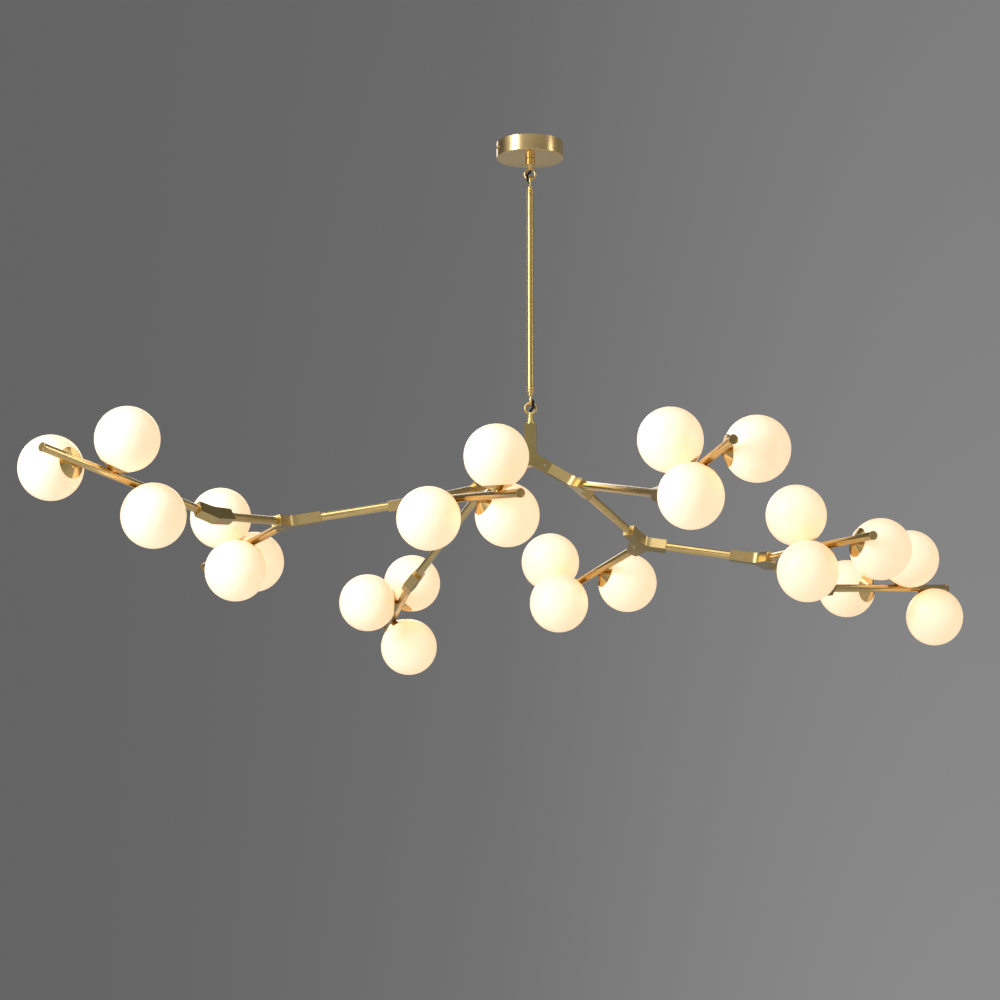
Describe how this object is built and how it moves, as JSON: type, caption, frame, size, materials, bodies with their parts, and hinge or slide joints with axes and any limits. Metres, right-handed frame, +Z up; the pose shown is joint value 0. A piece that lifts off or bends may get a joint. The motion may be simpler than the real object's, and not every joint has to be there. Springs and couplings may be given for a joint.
{
  "type": "branch chandelier",
  "caption": "Ceiling chandelier: a drop rod on linked loops carries a branching brass frame whose turnable arms hold opal glass globes.",
  "frame": {"origin": "middle of the canopy's ceiling face", "axes": "+Z up, the front view looks along +Y, +X to the right"},
  "size_m": [1.8497, 1.7582, 0.9468],
  "materials": {
    "satin_brass": "brushed",
    "bright_brass": "polished",
    "aged_brass": "satin",
    "tube_brass": "polished",
    "polished_brass": "spun and polished",
    "screw_brass": "satin",
    "steel": "zinc plated",
    "white_plastic": "matte",
    "black_cable": "matte",
    "lamp_white": "glazed",
    "opal_glass": "opal, satin"
  },
  "bodies": {
    "ceiling": {"canopy": "satin_brass", "bracket": "steel", "bracket_fasteners": "screw_brass", "terminal_block": "white_plastic", "stem_loop": "bright_brass", "supply_cable": "black_cable", "upper_jumper": "black_cable"},
    "rod": {"rod_tube": "bright_brass", "rod_loops": "bright_brass", "rod_cable": "black_cable", "lower_jumper": "black_cable"},
    "frame": {"hub_loop": "bright_brass", "hub": "aged_brass", "frame_fasteners": "steel", "frame_wires": "black_cable", "fork_r1": "aged_brass", "fork_r2": "aged_brass", "fork_r3": "aged_brass", "links_r": "tube_brass", "fork_l1": "aged_brass", "fork_l2": "aged_brass", "fork_l3": "aged_brass", "links_l": "tube_brass"},
    "elbow_r1": {"elbow_r1": "aged_brass"},
    "elbow_r2": {"elbow_r2": "aged_brass"},
    "elbow_l1": {"elbow_l1": "aged_brass"},
    "elbow_l2": {"elbow_l2": "aged_brass"},
    "arm_r1": {"arm_r1": "tube_brass", "cups_r1": "polished_brass", "lamps_r1": "lamp_white", "globes_r1": "opal_glass"},
    "arm_r2": {"arm_r2": "tube_brass", "cups_r2": "polished_brass", "lamps_r2": "lamp_white", "globes_r2": "opal_glass"},
    "arm_r3": {"arm_r3": "tube_brass", "cups_r3": "polished_brass", "lamps_r3": "lamp_white", "globes_r3": "opal_glass"},
    "arm_r4": {"arm_r4": "tube_brass", "cups_r4": "polished_brass", "lamps_r4": "lamp_white", "globes_r4": "opal_glass"},
    "arm_l1": {"arm_l1": "tube_brass", "cups_l1": "polished_brass", "lamps_l1": "lamp_white", "globes_l1": "opal_glass"},
    "arm_l2": {"arm_l2": "tube_brass", "cups_l2": "polished_brass", "lamps_l2": "lamp_white", "globes_l2": "opal_glass"},
    "arm_l3": {"arm_l3": "tube_brass", "cups_l3": "polished_brass", "lamps_l3": "lamp_white", "globes_l3": "opal_glass"},
    "arm_l4": {"arm_l4": "tube_brass", "cups_l4": "polished_brass", "lamps_l4": "lamp_white", "globes_l4": "opal_glass"}
  },
  "joints": [
    {"name": "rod_swing", "type": "hinge", "parent": "ceiling", "child": "rod", "pos_m": [0, 0, -0.0754], "axis": [1, 0, 0], "range_deg": [-20, 20], "deforming": ["upper_jumper"]},
    {"name": "frame_swing", "type": "hinge", "parent": "rod", "child": "frame", "pos_m": [0, 0, -0.5403], "axis": [0, 1, 0], "range_deg": [-20, 20], "deforming": ["lower_jumper"]},
    {"name": "elbow_r1_turn", "type": "hinge", "parent": "frame", "child": "elbow_r1", "pos_m": [0.24448, -0.44772, -0.81227], "axis": [0.3254, -0.9158, -0.2355], "range_deg": [-170, 170]},
    {"name": "elbow_r2_turn", "type": "hinge", "parent": "frame", "child": "elbow_r2", "pos_m": [0.59375, 0.38533, -0.83384], "axis": [0.5528, 0.8287, -0.0876], "range_deg": [-170, 170]},
    {"name": "elbow_l1_turn", "type": "hinge", "parent": "frame", "child": "elbow_l1", "pos_m": [-0.24448, 0.44772, -0.81227], "axis": [-0.3254, 0.9158, -0.2355], "range_deg": [-170, 170]},
    {"name": "elbow_l2_turn", "type": "hinge", "parent": "frame", "child": "elbow_l2", "pos_m": [-0.59261, -0.38582, -0.8393], "axis": [-0.5468, -0.829, -0.1173], "range_deg": [-170, 170]},
    {"name": "arm_r1_turn", "type": "hinge", "parent": "elbow_r1", "child": "arm_r1", "pos_m": [0.25461, -0.49053, -0.8114], "axis": [0.2302, -0.973, 0.0198], "range_deg": [-170, 170]},
    {"name": "arm_r2_turn", "type": "hinge", "parent": "frame", "child": "arm_r2", "pos_m": [0.2065, 0.24244, -0.78268], "axis": [-0.4657, 0.8748, -0.1336], "range_deg": [-170, 170]},
    {"name": "arm_r3_turn", "type": "hinge", "parent": "frame", "child": "arm_r3", "pos_m": [0.48045, 0.14426, -0.81576], "axis": [0.4329, -0.899, -0.0658], "range_deg": [-170, 170]},
    {"name": "arm_r4_turn", "type": "hinge", "parent": "elbow_r2", "child": "arm_r4", "pos_m": [0.62378, 0.41696, -0.82799], "axis": [0.6825, 0.7187, 0.1328], "range_deg": [-170, 170]},
    {"name": "arm_l1_turn", "type": "hinge", "parent": "elbow_l1", "child": "arm_l1", "pos_m": [-0.25064, 0.49125, -0.81408], "axis": [-0.1401, 0.9893, -0.0411], "range_deg": [-170, 170]},
    {"name": "arm_l2_turn", "type": "hinge", "parent": "frame", "child": "arm_l2", "pos_m": [-0.20645, -0.24236, -0.78301], "axis": [0.4669, -0.873, -0.1409], "range_deg": [-170, 170]},
    {"name": "arm_l3_turn", "type": "hinge", "parent": "frame", "child": "arm_l3", "pos_m": [-0.48107, -0.14475, -0.81235], "axis": [-0.4401, 0.8975, -0.0288], "range_deg": [-170, 170]},
    {"name": "arm_l4_turn", "type": "hinge", "parent": "elbow_l2", "child": "arm_l4", "pos_m": [-0.62101, -0.41893, -0.83352], "axis": [-0.6454, -0.7524, 0.1315], "range_deg": [-170, 170]}
  ]
}
